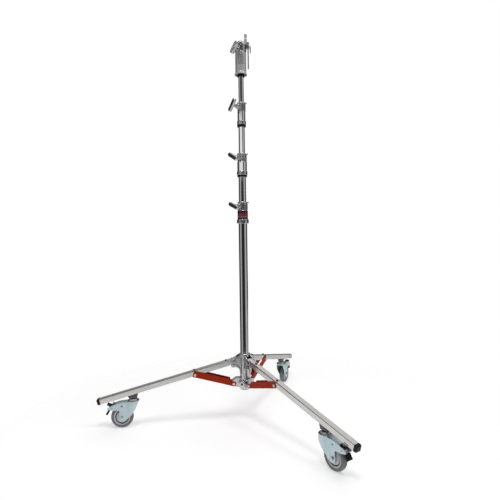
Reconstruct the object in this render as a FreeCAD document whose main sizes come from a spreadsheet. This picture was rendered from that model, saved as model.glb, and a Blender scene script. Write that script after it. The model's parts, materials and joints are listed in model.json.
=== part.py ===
import FreeCAD, Part
import math
import os
import Sketcher

# Rolling combo stand: a folding three-leg base on swivel casters, three telescoping risers,
# and a junior receiver with a swing-over baby pin.
# Frame: +Z up, origin on the floor under the column's axis. One leg points along -X.
# Lengths are millimetres and angles are degrees.

VECTOR = FreeCAD.Vector
X_AXIS, Y_AXIS, Z_AXIS = VECTOR(1, 0, 0), VECTOR(0, 1, 0), VECTOR(0, 0, 1)

SIZES = {
    # column and risers, as radii
    "column_radius": 25, "column_wall": 2, "column_bottom": 186, "plug_thickness": 12,
    "lower_riser_radius": 21.5, "middle_riser_radius": 18, "upper_riser_radius": 15, "riser_wall": 2,
    "lower_riser_bottom": 348, "middle_riser_bottom": 509, "upper_riser_bottom": 664,
    "slide_clearance": 0.1, "turn_clearance": 0.05, "face_gap": 0.3,
    "guide_length": 40, "guide_lip": 4, "clamp_rim": 1.5,
    # base collar, on the column
    "base_ring_bottom": 1152, "base_ring_top": 1175, "base_ring_radius": 34.5,
    "base_barrel_radius": 29.7, "base_clamp_bottom": 1226, "base_clamp_top": 1276, "base_clamp_radius": 28.5,
    "band_bottom": 1177, "band_top": 1224, "band_thickness": 0.5,
    # collar on the lower riser
    "lower_bumper_bottom": 1419, "lower_bumper_radius": 28.5, "lower_ring_bottom": 1430,
    "lower_ring_top": 1451, "lower_ring_radius": 30.5, "lower_barrel_radius": 27.5,
    "lower_clamp_bottom": 1505, "lower_clamp_top": 1552, "lower_clamp_radius": 27,
    # collar on the middle riser
    "middle_bumper_bottom": 1703, "middle_bumper_radius": 25.3, "middle_ring_bottom": 1716,
    "middle_ring_top": 1737, "middle_ring_radius": 25.5, "middle_barrel_radius": 22.3,
    "middle_clamp_bottom": 1790, "middle_clamp_top": 1841, "middle_clamp_radius": 23.5,
    # T-knobs
    "knob_azimuth": 219, "knob_stem_radius": 5, "knob_reach": 71, "knob_bar_length": 77, "knob_bar_width": 19,
    "knob_bar_depth": 14, "knob_hub_radius": 9, "boss_radius": 11, "boss_reach": 42,
    # receiver head
    "receiver_bottom": 1996, "receiver_waist": 2012, "receiver_block": 2128, "receiver_shoulder": 2170,
    "receiver_top": 2184, "receiver_radius": 31, "receiver_block_radius": 33, "receiver_skirt_radius": 36,
    "bore_radius": 14.3, "bore_floor": 2109, "socket_top": 2062,
    "bush_bottom": 1986, "bush_flare_radius": 21.5, "bush_radius": 18.5, "bush_top": 2016,
    "head_knob_height": 2131, "head_knob_azimuth": 233, "head_bar_length": 71, "head_bar_width": 22,
    "head_bar_depth": 14, "head_knob_reach": 66, "front_eye_height": 2163, "lower_eye_height": 2112,
    # swing-over baby pin
    "rod_azimuth": -6.7, "rod_reach": 43, "rod_radius": 3.5, "rod_bottom": 2030, "arm_bottom": 2168,
    "arm_thickness": 10, "pin_radius": 8, "pin_top": 2242, "lug_bottom": 2143, "lug_top": 2166,
    "lever_length": 42, "lever_height": 2155, "pin_x": 32.6, "pin_y": 29.4,
    # legs and folding gear, in each leg's own upright plane
    "leg_width": 33, "leg_wall": 2, "leg_corner": 4.5, "leg_drop": 14.37, "hinge_reach": 62,
    "hinge_height": 351.4, "leg_tail": 18, "leg_end_reach": 840, "cap_thickness": 8, "hinge_pin_radius": 5,
    "link_pin_reach": 67, "link_pin_height": 220, "link_end_reach": 290, "link_end_height": 283,
    "link_gap": 35, "link_thickness": 2.5, "link_low": 13, "link_high": 24, "rivet_radius": 5,
    "sleeve_radius": 30, "sleeve_bottom": 239, "sleeve_top": 394, "cheek_thickness": 6, "cheek_gap": 34,
    "tongue_half": 15.5,
    "plunger_height": 317, "plunger_radius": 5, "plunger_head_radius": 11,
    "hub_radius": 33, "hub_bottom": 190, "hub_top": 237, "hub_screw_height": 222, "hub_screw_radius": 6.5,
    # casters, in their own frame: swivel axis upright, wheel trailing along +X
    "swivel_reach": 642, "wheel_radius": 62.5, "wheel_width": 32, "wheel_trail": 62, "axle_radius": 6,
    "fork_width": 42, "fork_thickness": 3, "crown_bottom": 144, "crown_floor": 147.5, "crown_top": 154,
    "crown_radius": 34, "dish_radius": 29.5, "race_radius": 23, "race_top": 156, "stem_radius": 8,
    "pedal_pin_radius": 3, "pedal_reach": 118, "pedal_height": 119,
}

LEGS = {"1": 180.0, "2": 300.0, "3": 60.0}

doc = FreeCAD.newDocument("RollingStand")
sheet = doc.addObject("Spreadsheet::Sheet", "Sizes")
for line, (alias, value) in enumerate(SIZES.items(), start=1):
    sheet.set(f"A{line}", alias)
    sheet.set(f"B{line}", str(value))
    sheet.setAlias(f"B{line}", alias)
doc.recompute()

nodes = []


def number(term):
    """The value of a term: a number, or aliases and numbers joined by + and -."""
    if not isinstance(term, str):
        return float(term)
    total, sign = 0.0, 1
    for word in term.split():
        if word in ("+", "-"):
            sign = 1 if word == "+" else -1
        else:
            total += sign * float(SIZES.get(word, word))
    return total


def bind(thing, place, term):
    """Tie a property or constraint to the sheet when its term is words."""
    if isinstance(term, str):
        words = [f"Sizes.{word}" if word in SIZES else word for word in term.split()]
        thing.setExpression(place, " ".join(words))


def node(thing, label, placement=None):
    """Name a finished sub-part, place it and list it for export."""
    thing.Label = label
    if placement is not None:
        thing.Placement = placement
    nodes.append(thing)
    return thing


def at(x=0.0, y=0.0, z=0.0, turn=None):
    return FreeCAD.Placement(VECTOR(x, y, z), turn or FreeCAD.Rotation())


def about(axis, angle):
    return FreeCAD.Rotation(axis, angle)


def azimuth(angle):
    """The placement that swings a piece made in the X-Z plane round to an azimuth."""
    return at(turn=about(Z_AXIS, angle))


# ---------------------------------------------------------------- sketches and Part Design features


def new_body(name):
    return doc.addObject("PartDesign::Body", name)


def new_sketch(body, plane="XZ_Plane", offset=0.0):
    sketch = body.newObject("Sketcher::SketchObject", body.Name + "_sketch")
    support = [item for item in body.Origin.OriginFeatures if item.Role == plane][0]
    sketch.AttachmentSupport = (support, [""])
    sketch.MapMode = "FlatFace"
    if offset:
        sketch.AttachmentOffset = at(z=offset)
    return sketch


def draw_outline(sketch, points):
    """A closed outline of straight runs, each corner held by two dimensions from the origin."""
    count = len(points)
    first = sketch.GeometryCount
    spots = [VECTOR(number(x), number(y), 0) for x, y in points]
    for i in range(count):
        sketch.addGeometry(Part.LineSegment(spots[i], spots[(i + 1) % count]), False)
    for i in range(count):
        after = first + (i + 1) % count
        sketch.addConstraint(Sketcher.Constraint("Coincident", first + i, 2, after, 1))
    for i, point in enumerate(points):
        for kind, term in zip(("DistanceX", "DistanceY"), point):
            rule = Sketcher.Constraint(kind, -1, 1, first + i, 1, number(term))
            index = sketch.addConstraint(rule)
            bind(sketch, f"Constraints[{index}]", term)


def draw_slot(sketch, x, y, length, width, turn=0.0):
    """A straight slot with round ends, centred on x, y."""
    radius = width / 2
    half = length / 2 - radius
    along = VECTOR(math.cos(math.radians(turn)), math.sin(math.radians(turn)), 0)
    across = VECTOR(-along.y, along.x, 0)
    middle = VECTOR(x, y, 0)
    ends = [middle + along * half, middle - along * half]
    side = across * radius
    sketch.addGeometry(Part.LineSegment(ends[1] - side, ends[0] - side), False)
    sketch.addGeometry(Part.Arc(ends[0] - side, ends[0] + along * radius, ends[0] + side), False)
    sketch.addGeometry(Part.LineSegment(ends[0] + side, ends[1] + side), False)
    sketch.addGeometry(Part.Arc(ends[1] + side, ends[1] - along * radius, ends[1] - side), False)


def revolve(body, points, axis="V_Axis"):
    """Turn an outline about the sketch's upright or level axis."""
    sketch = new_sketch(body)
    draw_outline(sketch, points)
    feature = body.newObject("PartDesign::Revolution", body.Name + "_turned")
    feature.Profile = sketch
    feature.ReferenceAxis = (sketch, [axis])
    feature.Angle = 360


def extrude(body, sketch, length):
    feature = body.newObject("PartDesign::Pad", body.Name + "_pad")
    feature.Profile = sketch
    feature.Length = number(length)
    bind(feature, "Length", length)
    return feature


def edge_break(body, feature, edges, size):
    """Chamfer the named edges of the body's last feature."""
    doc.recompute()
    chamfer = body.newObject("PartDesign::Chamfer", body.Name + "_edges")
    chamfer.Base = (feature, edges)
    chamfer.Size = size


def turned(name, label, points, axis="V_Axis", placement=None):
    """A sub-part that is one turned solid."""
    body = new_body(name)
    revolve(body, points, axis)
    return node(body, label, placement)


# ---------------------------------------------------------------- Part primitives


def cylinder(name, radius, height, placement):
    solid = doc.addObject("Part::Cylinder", name)
    solid.Radius = number(radius)
    solid.Height = number(height)
    bind(solid, "Radius", radius)
    bind(solid, "Height", height)
    solid.Placement = placement
    return solid


def level_cylinder(name, radius, start, end, height, turn=0.0):
    """A cylinder lying along a radius of the column, from start to end, at a height."""
    ahead = about(Z_AXIS, turn).multiply(about(Y_AXIS, 90))
    base = about(Z_AXIS, turn).multVec(VECTOR(start, 0, height))
    return cylinder(name, radius, end - start, FreeCAD.Placement(base, ahead))


def cross_cylinder(name, radius, x, z, half):
    """A cylinder across the leg's plane, through x, z, reaching half each way."""
    return cylinder(name, radius, 2 * half, at(x, half, z, about(X_AXIS, 90)))


def box(name, length, width, height, placement):
    solid = doc.addObject("Part::Box", name)
    for prop, term in (("Length", length), ("Width", width), ("Height", height)):
        setattr(solid, prop, number(term))
        bind(solid, prop, term)
    solid.Placement = placement
    return solid


def hexagon(name, across_flats, height, placement):
    prism = doc.addObject("Part::Prism", name)
    prism.Polygon = 6
    prism.Circumradius = across_flats / math.sqrt(3)
    prism.Height = height
    prism.Placement = placement
    return prism


def rounded_wire(corners, level=0.0):
    """A closed wire in the X-Z plane through corners (x, z, radius), each rounded by its radius."""
    spots = [VECTOR(x, level, z) for x, z, _ in corners]
    count = len(spots)
    entries, exits, arcs = [], [], []
    for i, (_, _, radius) in enumerate(corners):
        back = (spots[i - 1] - spots[i]).normalize()
        ahead = (spots[(i + 1) % count] - spots[i]).normalize()
        half = back.getAngle(ahead) / 2
        reach = radius / math.tan(half)
        inward = (back + ahead).normalize()
        middle = spots[i] + inward * (radius / math.sin(half) - radius)
        entries.append(spots[i] + back * reach)
        exits.append(spots[i] + ahead * reach)
        arcs.append(Part.Arc(entries[i], middle, exits[i]).toShape() if radius else None)
    edges = []
    for i in range(count):
        if arcs[i]:
            edges.append(arcs[i])
        after = entries[(i + 1) % count]
        if (after - exits[i]).Length > 0.001:
            edges.append(Part.LineSegment(exits[i], after).toShape())
    return Part.Wire(edges)


def plate(name, corners, low, high):
    """A flat plate in the leg's plane, from y = low to y = high, with rounded corners."""
    feature = doc.addObject("Part::Feature", name)
    feature.Shape = Part.Face(rounded_wire(corners, low)).extrude(VECTOR(0, high - low, 0))
    return feature


def joined(name, pieces):
    fuse = doc.addObject("Part::MultiFuse", name)
    fuse.Shapes = pieces
    return fuse


def grouped(name, pieces):
    """Separate solids that share one sub-part, such as identical fasteners."""
    group = doc.addObject("Part::Compound", name)
    group.Links = pieces
    return group


def less(name, base, tool):
    cut = doc.addObject("Part::Cut", name)
    cut.Base = base
    cut.Tool = tool
    return cut


# ---------------------------------------------------------------- column and risers


def tube(name, label, radius, wall, bottom, top):
    turned(name, label, [
        (f"{radius} - {wall}", bottom), (radius, bottom), (radius, top), (f"{radius} - {wall}", top),
    ])


def make_tubes():
    tube("BaseColumn", "base_column", "column_radius", "column_wall", "column_bottom", "base_clamp_bottom")
    tube("LowerRiser", "riser_1_tube", "lower_riser_radius", "riser_wall", "lower_riser_bottom",
         "lower_clamp_bottom")
    tube("MiddleRiser", "riser_2_tube", "middle_riser_radius", "riser_wall", "middle_riser_bottom",
         "middle_clamp_bottom")
    tube("UpperRiser", "riser_3_tube", "upper_riser_radius", "riser_wall", "upper_riser_bottom", "socket_top")


def make_column_plug():
    lip = "column_bottom - 3"
    top = "column_bottom + plug_thickness"
    turned("ColumnPlug", "column_plug", [
        (0, lip), ("column_radius - 1", lip), ("column_radius", "column_bottom - 2"),
        ("column_radius", "column_bottom"), ("column_radius - column_wall", "column_bottom"),
        ("column_radius - column_wall", top), (0, top),
    ])


def guide_bush(name, radius, outer_tube, wall, bottom):
    """Plastic bush round a riser's lower end, running in the tube outside it, with a lip under the tube."""
    outside = f"{outer_tube} - {wall} - slide_clearance"
    body = new_body(name)
    revolve(body, [
        (f"{radius} - riser_wall - 1", f"{bottom} - guide_lip"), (outside, f"{bottom} - guide_lip"),
        (outside, f"{bottom} + guide_length"), (radius, f"{bottom} + guide_length"),
        (radius, bottom), (f"{radius} - riser_wall - 1", bottom),
    ])
    return body


def bumper_ring(name, radius, outer, bottom, top):
    body = new_body(name)
    revolve(body, [
        (radius, bottom), (f"{outer} - 1.5", bottom), (outer, f"{bottom} + 1.5"), (outer, top), (radius, top),
    ])
    return body


def make_riser_bushes():
    lower = [
        guide_bush("LowerGuide", "lower_riser_radius", "column_radius", "column_wall", "lower_riser_bottom"),
        bumper_ring("LowerBumper", "lower_riser_radius", "lower_bumper_radius", "lower_bumper_bottom",
                    "lower_ring_bottom"),
    ]
    middle = [
        guide_bush("MiddleGuide", "middle_riser_radius", "lower_riser_radius", "riser_wall",
                   "middle_riser_bottom"),
        bumper_ring("MiddleBumper", "middle_riser_radius", "middle_bumper_radius", "middle_bumper_bottom",
                    "middle_ring_bottom"),
    ]
    collar_bush = new_body("ReceiverBush")
    revolve(collar_bush, [
        ("upper_riser_radius", "bush_bottom"), ("bush_flare_radius - 2", "bush_bottom"),
        ("bush_flare_radius", "bush_bottom + 2"), ("bush_flare_radius", "bush_bottom + 5"),
        ("bush_radius", "bush_bottom + 10"), ("bush_radius", "bush_top"), ("upper_riser_radius", "bush_top"),
    ])
    upper = [
        guide_bush("UpperGuide", "upper_riser_radius", "middle_riser_radius", "riser_wall",
                   "upper_riser_bottom"),
        collar_bush,
    ]
    for label, pieces in (("riser_1_bushes", lower), ("riser_2_bushes", middle), ("riser_3_bushes", upper)):
        node(grouped(label + "_group", pieces), label)


# ---------------------------------------------------------------- collars and T-knobs


def clamp_fins(name, radius, bottom, top):
    """Upright ribs round the clamp, clear of the knob's boss."""
    fins = []
    for i, angle in enumerate(range(20, 350, 30)):
        if abs(angle - 180) > 50:
            fin = box(f"{name}_fin{i}", 2.2, 3, top - bottom, at(radius - 1, -1.5, bottom))
            fin.Placement = azimuth(SIZES["knob_azimuth"] - 180 + angle).multiply(fin.Placement)
            fins.append(fin)
    return fins


def collar(name, label, part, tube_radius, riser_radius):
    """Cast collar: ring and barrel round one tube, and a clamp head round the riser that slides in it."""
    middle = number(f"{part}_clamp_bottom") / 2 + number(f"{part}_clamp_top") / 2
    inner = f"{riser_radius} + slide_clearance"
    body = new_body(name)
    revolve(body, [
        (tube_radius, f"{part}_ring_bottom"), (f"{part}_ring_radius - 1", f"{part}_ring_bottom"),
        (f"{part}_ring_radius", f"{part}_ring_bottom + 1"), (f"{part}_ring_radius", f"{part}_ring_top - 1"),
        (f"{part}_ring_radius - 1", f"{part}_ring_top"), (f"{part}_barrel_radius", f"{part}_ring_top"),
        (f"{part}_barrel_radius", f"{part}_clamp_bottom"),
        (f"{part}_clamp_radius - 1.5", f"{part}_clamp_bottom"),
        (f"{part}_clamp_radius - 1.5", f"{part}_clamp_top - 7"),
        (f"{part}_clamp_radius + clamp_rim", f"{part}_clamp_top - 5"),
        (f"{part}_clamp_radius + clamp_rim", f"{part}_clamp_top - 1"),
        (f"{part}_clamp_radius + clamp_rim - 1", f"{part}_clamp_top"), (inner, f"{part}_clamp_top"),
        (inner, f"{part}_clamp_bottom"), (tube_radius, f"{part}_clamp_bottom"),
    ])
    turn = SIZES["knob_azimuth"]
    start, reach = number(tube_radius), SIZES["boss_reach"]
    boss = level_cylinder(name + "_boss", "boss_radius", start, reach, middle, turn)
    neck = level_cylinder(name + "_neck", 14, start, reach - 8, middle, turn)
    fins = clamp_fins(name, number(f"{part}_clamp_radius"), number(f"{part}_clamp_bottom") + 3,
                      number(f"{part}_clamp_top") - 4)
    ear = box(name + "_ear", 8, 12, 7, at(number(f"{part}_clamp_radius") - 1, -6, 0))
    ear.Placement = at(z=number(f"{part}_clamp_top") - 8).multiply(azimuth(-18)).multiply(ear.Placement)
    solid = joined(name + "_casting", [body, boss, neck, ear] + fins)
    bore = cylinder(name + "_bore", inner, 80, at(z=number(f"{part}_clamp_bottom")))
    hole = level_cylinder(name + "_hole", "knob_stem_radius + turn_clearance", 10, 60, middle, turn)
    slit = box(name + "_slit", 12, 2.5, 48, at(number(f"{part}_clamp_radius") - 9, -1.25, 0))
    slit.Placement = at(z=number(f"{part}_clamp_bottom") + 6).multiply(azimuth(turn + 90)).multiply(
        slit.Placement)
    node(less(name + "_finished", solid, joined(name + "_holes", [bore, hole, slit])), label)
    return middle


def t_knob(name, label, place, reach, stem_tip, bar, tilt, ribs=0):
    """T-knob on a radial screw at an azimuth and height. Its cross bar leans from upright by tilt."""
    turn, height = place
    length, width, depth = bar
    stem = level_cylinder(name + "_stem", "knob_stem_radius", stem_tip, reach, 0)
    hub = new_body(name + "_hub")
    face = SIZES["boss_reach"] + 1
    revolve(hub, [
        (face, 0), (face, "knob_hub_radius - 1"), (face + 1, "knob_hub_radius"),
        (reach - 8, "knob_hub_radius"), (reach, "knob_hub_radius - 2"), (reach, 0),
    ], axis="H_Axis")
    cross = new_body(name + "_bar")
    sketch = new_sketch(cross, "YZ_Plane", reach - depth / 2)
    draw_slot(sketch, 0, 0, length, width, 90)
    pad = extrude(cross, sketch, depth)
    edge_break(cross, pad, ["Face5", "Face6"], 2.5)
    grips = []
    for i in range(ribs):
        offset = (i - (ribs - 1) / 2) * 8 - 1.5
        start = at(reach - depth / 2 - 1, 3 - width / 2, offset)
        grips.append(box(f"{name}_rib{i}", depth + 2, width - 6, 3, start))
    solid = joined(name + "_solid", [stem, hub, cross] + grips)
    lean = about(Z_AXIS, turn).multiply(about(X_AXIS, -tilt))
    node(solid, label, at(z=height, turn=lean))


def make_collars():
    base = collar("BaseCollar", "base_collar", "base", "column_radius", "lower_riser_radius")
    lower = collar("LowerCollar", "riser_1_collar", "lower", "lower_riser_radius", "middle_riser_radius")
    middle = collar("MiddleCollar", "riser_2_collar", "middle", "middle_riser_radius", "upper_riser_radius")
    turned("BaseBand", "base_band", [
        ("base_barrel_radius", "band_bottom"), ("base_barrel_radius + band_thickness", "band_bottom"),
        ("base_barrel_radius + band_thickness", "band_top"), ("base_barrel_radius", "band_top"),
    ])
    bar = (SIZES["knob_bar_length"], SIZES["knob_bar_width"], SIZES["knob_bar_depth"])
    knobs = (
        ("BaseKnob", "base_knob", base, "lower_riser_radius", -66),
        ("LowerKnob", "riser_1_knob", lower, "middle_riser_radius", -60),
        ("MiddleKnob", "riser_2_knob", middle, "upper_riser_radius", 37),
    )
    for name, label, height, riser, tilt in knobs:
        place = (SIZES["knob_azimuth"], height)
        t_knob(name, label, place, SIZES["knob_reach"], number(f"{riser} + face_gap + 0.1"), bar, tilt)


# ---------------------------------------------------------------- receiver head


def make_receiver():
    body = new_body("Receiver")
    revolve(body, [
        ("upper_riser_radius", "bush_top"), ("receiver_radius - 5", "bush_top"),
        ("receiver_radius - 4", "receiver_waist"), ("receiver_skirt_radius - 2", "receiver_bottom"),
        ("receiver_skirt_radius", "receiver_bottom + 1"), ("receiver_radius", "receiver_waist"),
        ("receiver_radius", "receiver_block - 4"), ("receiver_block_radius", "receiver_block"),
        ("receiver_block_radius", "receiver_shoulder - 6"),
        ("receiver_block_radius - 4", "receiver_shoulder"),
        ("bore_radius + 7", "receiver_top - 2"), ("bore_radius + 5", "receiver_top"),
        ("bore_radius", "receiver_top"), ("bore_radius", "bore_floor"), (0, "bore_floor"),
        (0, "socket_top"), ("upper_riser_radius", "socket_top"),
    ])
    turn = SIZES["head_knob_azimuth"]
    height = SIZES["head_knob_height"]
    rod = about(Z_AXIS, SIZES["rod_azimuth"]).multVec(VECTOR(SIZES["rod_reach"], 0, 0))
    lug_height = number("lug_top - lug_bottom")
    lug = cylinder("Receiver_lug", 8, "lug_top - lug_bottom", at(rod.x, rod.y, SIZES["lug_bottom"]))
    web = box("Receiver_web", SIZES["rod_reach"] - 28, 13, lug_height, at(28, -6.5, SIZES["lug_bottom"]))
    web.Placement = azimuth(SIZES["rod_azimuth"]).multiply(web.Placement)
    boss = level_cylinder("Receiver_boss", 13, 24, SIZES["boss_reach"], height, turn)
    front = level_cylinder("Receiver_front", 9, 22, 37, SIZES["front_eye_height"], 268)
    eye = level_cylinder("Receiver_eye", 8.5, 22, 34.5, SIZES["lower_eye_height"], 266)
    ribs = []
    for i, angle in enumerate((247, 268, 289)):
        rib = box(f"Receiver_rib{i}", 4, 4, 62, at(SIZES["receiver_radius"] - 1.8, -2, 2046))
        rib.Placement = azimuth(angle).multiply(rib.Placement)
        ribs.append(rib)
    solid = joined("Receiver_casting", [body, lug, web, boss, front, eye] + ribs)
    bore = cylinder("Receiver_bore", "bore_radius", 100, at(z=SIZES["bore_floor"]))
    rod_hole = cylinder("Receiver_rod_hole", "rod_radius + turn_clearance", 60, at(rod.x, rod.y, 2120))
    eye_hole = level_cylinder("Receiver_eye_hole", 4.5, 28, 40, SIZES["lower_eye_height"], 266)
    front_hole = level_cylinder("Receiver_front_hole", 4, 32, 40, SIZES["front_eye_height"], 268)
    screw_hole = level_cylinder("Receiver_screw_hole", "knob_stem_radius + turn_clearance", 8, 60, height,
                                turn)
    lever_hole = level_cylinder("Receiver_lever_hole", 3.05, SIZES["rod_reach"], 60,
                                 SIZES["lever_height"], SIZES["rod_azimuth"])
    holes = joined("Receiver_holes", [bore, rod_hole, eye_hole, front_hole, screw_hole, lever_hole])
    node(less("Receiver_finished", solid, holes), "receiver_body")
    bar = (SIZES["head_bar_length"], SIZES["head_bar_width"], SIZES["head_bar_depth"])
    reach, stem_tip = SIZES["head_knob_reach"], number("bore_radius + 0.5")
    t_knob("HeadKnob", "receiver_knob", (turn, height), reach, stem_tip, bar, tilt=34, ribs=7)


def make_baby_pin():
    rod = about(Z_AXIS, SIZES["rod_azimuth"]).multVec(VECTOR(SIZES["rod_reach"], 0, 0))
    place = at(rod.x, rod.y)
    turned("SpigotRod", "spigot_rod", [
        (0, "rod_bottom"), ("rod_radius - 1", "rod_bottom"), ("rod_radius", "rod_bottom + 1"),
        ("rod_radius", "arm_bottom + arm_thickness"), (5.5, "arm_bottom + arm_thickness"),
        (5.5, "arm_bottom + arm_thickness + 3"), (0, "arm_bottom + arm_thickness + 3"),
    ], placement=place)
    # the arm runs from the rod to the pin's foot, which stands beside and a little behind the casting
    foot = VECTOR(SIZES["pin_x"], SIZES["pin_y"], 0) - rod
    swing = math.degrees(math.atan2(foot.y, foot.x))
    arm = new_body("SpigotArm")
    sketch = new_sketch(arm, "XY_Plane", SIZES["arm_bottom"])
    draw_slot(sketch, foot.Length / 2, 0, foot.Length + 12.5, 12.5)
    extrude(arm, sketch, number("arm_thickness - face_gap"))
    boss = cylinder("SpigotArm_boss", 10, 13, at(foot.Length, 0, SIZES["arm_bottom"] - 3))
    solid = joined("SpigotArm_solid", [arm, boss])
    rod_hole = cylinder("SpigotArm_rod_hole", "rod_radius + turn_clearance", 60, at(z=2140))
    pin_hole = cylinder("SpigotArm_pin_hole", 6, 60, at(foot.Length, 0, 2140))
    cut = less("SpigotArm_finished", solid, joined("SpigotArm_holes", [rod_hole, pin_hole]))
    node(cut, "spigot_arm", at(rod.x, rod.y, 0, about(Z_AXIS, swing)))
    shoulder = "arm_bottom + arm_thickness"
    turned("SpigotPin", "spigot_pin", [
        (0, "arm_bottom - 3"), (6, "arm_bottom - 3"), (6, shoulder), ("pin_radius", shoulder),
        ("pin_radius", "pin_top - 29"), (5.5, "pin_top - 27"), (5.5, "pin_top - 21"),
        ("pin_radius", "pin_top - 19"), ("pin_radius", "pin_top - 3"), ("pin_radius - 3", "pin_top"),
        (0, "pin_top"),
    ], placement=at(rod.x + foot.x, rod.y + foot.y))
    stem = level_cylinder("SpigotLever_stem", 3, number("rod_reach + rod_radius + face_gap"), 58, 0)
    blade = new_body("SpigotLever_blade")
    sketch = new_sketch(blade, "YZ_Plane", 52.5)
    draw_slot(sketch, 0, 5 - SIZES["lever_length"] / 2, SIZES["lever_length"], 9, 90)
    pad = extrude(blade, sketch, 6)
    edge_break(blade, pad, ["Face5", "Face6"], 1.5)
    lever = joined("SpigotLever", [stem, blade])
    node(lever, "spigot_lever", at(z=SIZES["lever_height"], turn=about(Z_AXIS, SIZES["rod_azimuth"])))


# ---------------------------------------------------------------- folding base: fixed and sliding castings


def make_lower_hub():
    """Casting at the column's foot: ring, three link tongues and three set-screw lobes between them."""
    ring = new_body("HubRing")
    revolve(ring, [
        ("column_radius", "hub_bottom"), ("hub_radius - 2", "hub_bottom"), ("hub_radius", "hub_bottom + 2"),
        ("hub_radius", "hub_top"), ("column_radius", "hub_top"),
    ])
    reach, height = SIZES["link_pin_reach"], SIZES["link_pin_height"]
    screw_height = SIZES["hub_screw_height"]
    tongue_outline = [(26, 196, 0), (46, 199, 8), (reach + 10, height - 12, 9.5),
                      (reach + 12, height + 18, 14), (50, 256, 14), (26, 253, 0)]
    pieces, cuts = [ring], []
    for leg, angle in LEGS.items():
        tongue = plate(f"HubTongue{leg}", tongue_outline, -SIZES["tongue_half"], SIZES["tongue_half"])
        tongue.Placement = azimuth(angle)
        lobe = level_cylinder(f"HubLobe{leg}", 21, 8, 40, screw_height, angle + 180)
        nose = level_cylinder(f"HubNose{leg}", 16, 8, 44, screw_height, angle + 180)
        pieces += [tongue, lobe, nose]
        pin_hole = cross_cylinder(f"HubPinHole{leg}", "rivet_radius + turn_clearance", reach, height, 30)
        pin_hole.Placement = azimuth(angle).multiply(pin_hole.Placement)
        cuts.append(pin_hole)
        screw_hole = level_cylinder(f"HubScrewHole{leg}", "hub_screw_radius", 20, 60, screw_height,
                                    angle + 180)
        cuts.append(screw_hole)
    cuts.append(cylinder("HubBore", "column_radius", 200, at(z=120)))
    cuts.append(cylinder("HubSeat", "sleeve_radius + 0.6", 60, at(z=SIZES["hub_top"])))
    hub = less("LowerHub", joined("LowerHub_casting", pieces), joined("LowerHub_holes", cuts))
    node(hub, "lower_hub")
    screws = []
    for leg, angle in LEGS.items():
        shank = level_cylinder(f"HubScrew{leg}", "hub_screw_radius", 26, 38, screw_height, angle + 180)
        socket = hexagon(f"HubSocket{leg}", 6, 6, at(33, 0, screw_height, about(Y_AXIS, 90)))
        socket.Placement = azimuth(angle + 180).multiply(socket.Placement)
        screws.append(less(f"HubScrew{leg}_finished", shank, socket))
    node(grouped("HubScrews", screws), "hub_screws")


def make_leg_collar():
    """Sliding casting: a sleeve on the column, three pairs of cheeks for the legs and a plunger boss."""
    sleeve = new_body("CollarSleeve")
    bore = "column_radius + slide_clearance"
    revolve(sleeve, [
        (bore, "sleeve_bottom"), ("sleeve_radius - 1", "sleeve_bottom"),
        ("sleeve_radius", "sleeve_bottom + 1"),
        ("sleeve_radius", "sleeve_top - 18"), ("sleeve_radius + 3", "sleeve_top - 16"),
        ("sleeve_radius + 3", "sleeve_top - 2"), ("sleeve_radius + 1", "sleeve_top"), (bore, "sleeve_top"),
    ])
    reach, height = SIZES["hinge_reach"], SIZES["hinge_height"]
    inside = SIZES["cheek_gap"] / 2
    outside = inside + SIZES["cheek_thickness"]
    cheek_outline = [(24, 250, 0), (31, 318, 30), (83, 318, 9), (82, 364, 7), (56, 370, 40), (36, 386, 20),
                     (24, 388, 0)]
    rib_outline = [(28.5, 272, 0), (33, 327, 28), (81, 326, 2), (81, 333, 2), (28.5, 336, 36)]
    pieces = [sleeve]
    cuts = [cylinder("CollarBore", bore, 300, at(z=180))]
    for leg, angle in LEGS.items():
        for side in (-1, 1):
            near, far = sorted((side * inside, side * outside))
            cheek = plate(f"Cheek{leg}{near > 0}", cheek_outline, near, far)
            low, high = sorted((side * (outside - 0.5), side * (outside + 3.5)))
            rib = plate(f"CheekRib{leg}{near > 0}", rib_outline, low, high)
            for piece in (cheek, rib):
                piece.Placement = azimuth(angle)
                pieces.append(piece)
        pin_hole = cross_cylinder(f"HingeHole{leg}", "hinge_pin_radius", reach, height, 40)
        pin_hole.Placement = azimuth(angle).multiply(pin_hole.Placement)
        cuts.append(pin_hole)
    plunger = SIZES["plunger_height"]
    pieces.append(level_cylinder("PlungerBoss", 13, 26, 41, plunger, 0))
    pieces.append(level_cylinder("PlungerNeck", 10, 26, 44, plunger, 0))
    cuts.append(level_cylinder("PlungerHole", "plunger_radius + turn_clearance", 20, 60, plunger, 0))
    casting = joined("LegCollar_casting", pieces)
    node(less("LegCollar", casting, joined("LegCollar_holes", cuts)), "leg_collar")
    bolts = []
    for leg, angle in LEGS.items():
        shank = cross_cylinder(f"HingeShank{leg}", "hinge_pin_radius", reach, height, outside + 9)
        head = hexagon(f"HingeHead{leg}", 16, 6, at(reach, -outside - 0.02, height, about(X_AXIS, 90)))
        nut = hexagon(f"HingeNut{leg}", 16, 7, at(reach, outside + 7.02, height, about(X_AXIS, 90)))
        bolt = joined(f"HingeBolt{leg}", [shank, head, nut])
        bolt.Placement = azimuth(angle)
        bolts.append(bolt)
    node(grouped("HingeBolts", bolts), "hinge_bolts")
    body = new_body("FoldPlunger")
    revolve(body, [
        (26, 0), (26, "plunger_radius"), (44.5, "plunger_radius"), (44.5, "plunger_head_radius - 1.5"),
        (46, "plunger_head_radius"), (57, "plunger_head_radius"), (60, "plunger_head_radius - 3"), (60, 0),
    ], axis="H_Axis")
    node(body, "fold_plunger", at(z=plunger))


# ---------------------------------------------------------------- legs and links


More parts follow.
